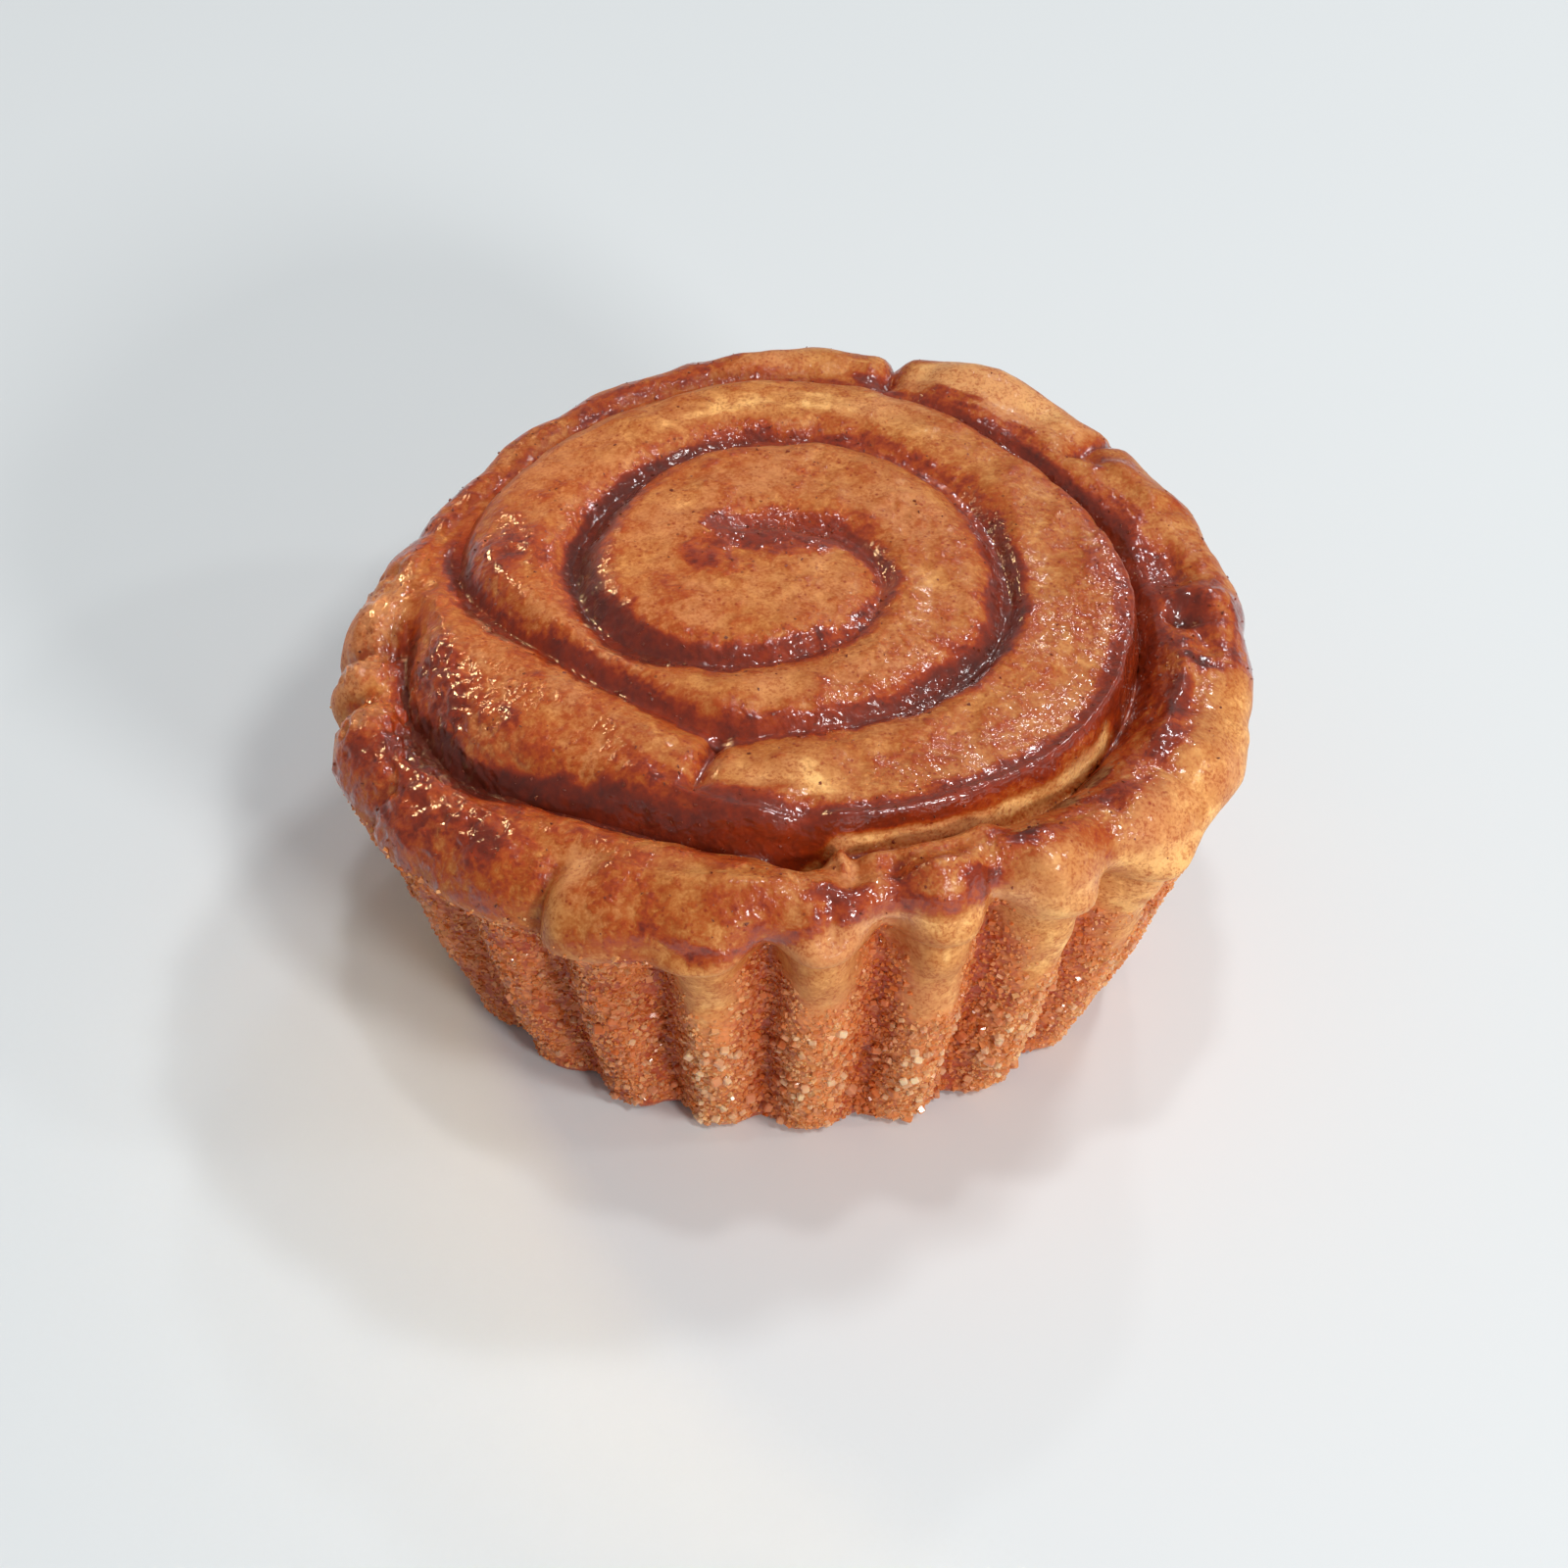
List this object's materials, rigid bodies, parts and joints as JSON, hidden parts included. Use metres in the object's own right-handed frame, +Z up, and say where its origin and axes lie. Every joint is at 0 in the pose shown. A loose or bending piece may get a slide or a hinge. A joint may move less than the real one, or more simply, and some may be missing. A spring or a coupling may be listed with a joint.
{
  "type": "cinnamon bun",
  "caption": "Round coiled cinnamon bun with a spiral of dark filling on a glazed domed top, an uneven rim and fluted sides that taper to a flat base.",
  "frame": {"origin": "centre of the flat base", "axes": "+Z up through the middle of the coil, -Y towards the side that the picture shows, +X to its right"},
  "size_m": [0.106, 0.1025, 0.05],
  "materials": {
    "baked_dough": "satin, glazed on top and sugared on the side",
    "cinnamon": "glossy"
  },
  "bodies": {
    "root": {"dough": "baked_dough", "cinnamon_filling": "cinnamon"}
  },
  "joints": []
}
